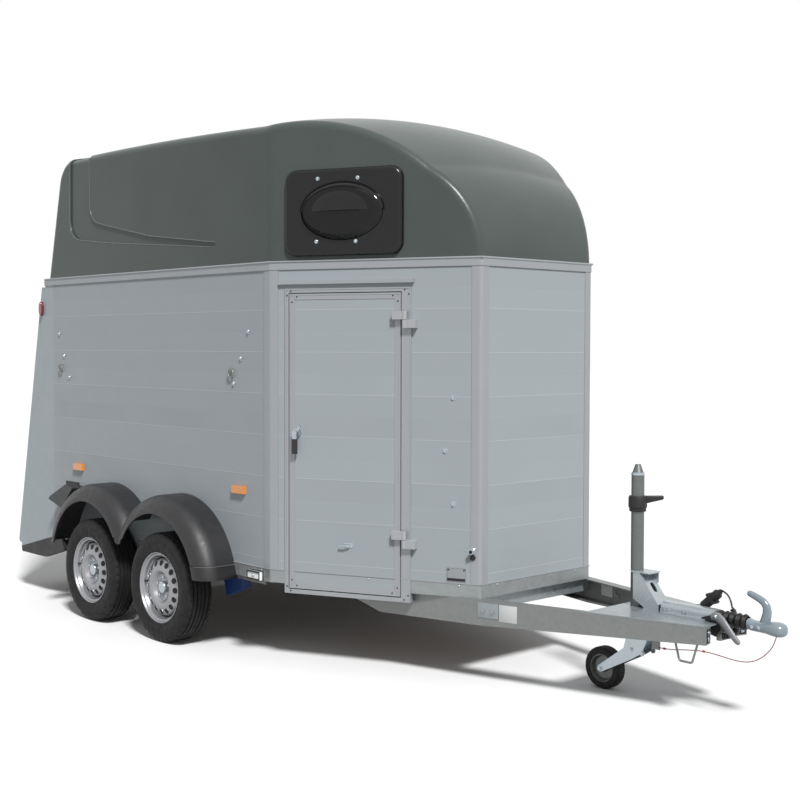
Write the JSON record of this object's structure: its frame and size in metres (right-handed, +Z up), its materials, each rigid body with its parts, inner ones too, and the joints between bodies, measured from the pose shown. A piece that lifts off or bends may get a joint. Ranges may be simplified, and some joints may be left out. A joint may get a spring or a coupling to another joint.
{
  "type": "horse trailer",
  "caption": "Two-horse trailer: plank-walled body with an angled nose, moulded hood, side door, rear ramp, tandem axle, drawbar with overrun coupling and jockey wheel.",
  "frame": {"origin": "middle of the footprint, on the ground", "axes": "+X forward to the coupling, +Y to the trailer's left, +Z up"},
  "size_m": [5.1704, 2.21, 2.877],
  "materials": {
    "hood_shell": "glossy moulded shell, graphite grey-green",
    "window_moulding": "glossy black moulded window frame",
    "tinted_pane": "dark tinted domed pane",
    "curtain_cloth": "coated tarpaulin",
    "pale_extrusion": "pale anodised extrusion",
    "wall_planks": "pale grey hollow planks with light seams",
    "galvanised_steel": "hot-dip galvanised, dull",
    "floor_ply": "film-faced ply",
    "mat_rubber": "ribbed rubber mat",
    "black_plastic": "moulded, slight grain",
    "red_lens": "clear red lens",
    "amber_lens": "amber lens",
    "ramp_boards": "pale grey planks",
    "door_aluminium": "satin frame",
    "coated_hinge": "pale grey coated hinge block",
    "partition_board": "padded board",
    "bellows_rubber": "ribbed rubber gaiter",
    "zinc_plate": "bright zinc plating",
    "grey_plastic": "grey moulded grip",
    "lead_sheath": "black cable sheath",
    "red_cable": "red plastic-coated cable",
    "tyre_rubber": "road tyre rubber",
    "wheel_silver": "silver painted steel"
  },
  "bodies": {
    "trailer": {"hood": "hood_shell", "window_frames": "window_moulding", "window_panes": "tinted_pane", "rear_curtain": "curtain_cloth", "trim_band": "pale_extrusion", "corner_posts": "pale_extrusion", "side_walls": "wall_planks", "angled_walls": "wall_planks", "nose_wall": "wall_planks", "base_rim": "galvanised_steel", "portal_plates": "wall_planks", "floor_panel": "floor_ply", "floor_mat": "mat_rubber", "chassis_frame": "galvanised_steel", "drawbar_rails": "galvanised_steel", "drawbar_plates": "galvanised_steel", "axles": "galvanised_steel", "mudguards": "black_plastic", "lamp_board": "black_plastic", "rear_lamps": "red_lens", "rear_beam": "galvanised_steel", "door_frame": "door_aluminium", "hinge_blocks_frame": "coated_hinge", "marker_lamps": "amber_lens", "tie_rings": "galvanised_steel", "chock_holder": "black_plastic", "wheel_chocks": "black_plastic", "partition_post": "galvanised_steel", "overrun_housing": "galvanised_steel", "bellows": "bellows_rubber", "coupling_head": "zinc_plate", "coupling_handle": "zinc_plate", "handbrake_ratchet": "black_plastic", "handbrake_lever": "grey_plastic", "drawbar_loops": "galvanised_steel", "electric_plug": "black_plastic", "plug_lead": "lead_sheath", "curly_lead": "lead_sheath", "breakaway_cable": "red_cable", "jockey_bracket": "galvanised_steel", "jockey_tube": "galvanised_steel", "jockey_collar": "black_plastic"},
    "ramp": {"ramp_panel": "ramp_boards", "ramp_mat": "mat_rubber"},
    "groom_door": {"door_leaf": "wall_planks", "hinge_blocks_door": "coated_hinge", "door_handle": "black_plastic"},
    "partition": {"partition_panel": "partition_board"},
    "jockey_leg": {"jockey_leg": "zinc_plate"},
    "jockey_fork": {"jockey_fork": "zinc_plate"},
    "jockey_wheel": {"jockey_rim": "zinc_plate", "jockey_tyre": "tyre_rubber"},
    "front_right_wheel": {"tyre_front_right": "tyre_rubber", "wheel_front_right": "wheel_silver"},
    "front_left_wheel": {"tyre_front_left": "tyre_rubber", "wheel_front_left": "wheel_silver"},
    "rear_right_wheel": {"tyre_rear_right": "tyre_rubber", "wheel_rear_right": "wheel_silver"},
    "rear_left_wheel": {"tyre_rear_left": "tyre_rubber", "wheel_rear_left": "wheel_silver"}
  },
  "joints": [
    {"name": "front_right_wheel_spin", "type": "hinge", "parent": "trailer", "child": "front_right_wheel", "pos_m": [-0.58075, -0.9925, 0.3], "axis": [0, 1, 0], "continuous": true},
    {"name": "front_left_wheel_spin", "type": "hinge", "parent": "trailer", "child": "front_left_wheel", "pos_m": [-0.58075, 0.9925, 0.3], "axis": [0, 1, 0], "continuous": true},
    {"name": "rear_right_wheel_spin", "type": "hinge", "parent": "trailer", "child": "rear_right_wheel", "pos_m": [-1.32725, -0.9925, 0.3], "axis": [0, 1, 0], "continuous": true},
    {"name": "rear_left_wheel_spin", "type": "hinge", "parent": "trailer", "child": "rear_left_wheel", "pos_m": [-1.32725, 0.9925, 0.3], "axis": [0, 1, 0], "continuous": true},
    {"name": "ramp_hinge", "type": "hinge", "parent": "trailer", "child": "ramp", "pos_m": [-2.56125, 0, 0.33], "axis": [0, -1, 0], "range_deg": [0, 111.8]},
    {"name": "groom_door_hinge", "type": "hinge", "parent": "trailer", "child": "groom_door", "pos_m": [0.87075, -0.5956, 1.2], "axis": [0, 0, 1], "range_deg": [0, 165]},
    {"name": "partition_swing", "type": "hinge", "parent": "trailer", "child": "partition", "pos_m": [-0.02075, 0, 1.2], "axis": [0, 0, 1], "range_deg": [-15, 15]},
    {"name": "jockey_leg_slide", "type": "slide", "parent": "trailer", "child": "jockey_leg", "axis": [0, 0, 1], "range_m": [0, 0.095]},
    {"name": "jockey_swivel", "type": "hinge", "parent": "jockey_leg", "child": "jockey_fork", "pos_m": [1.81925, 0, 0.296], "axis": [0, 0, 1], "range_deg": [-120, 120]},
    {"name": "jockey_wheel_spin", "type": "hinge", "parent": "jockey_fork", "child": "jockey_wheel", "pos_m": [1.63825, 0, 0.1], "axis": [0, 1, 0], "continuous": true}
  ]
}
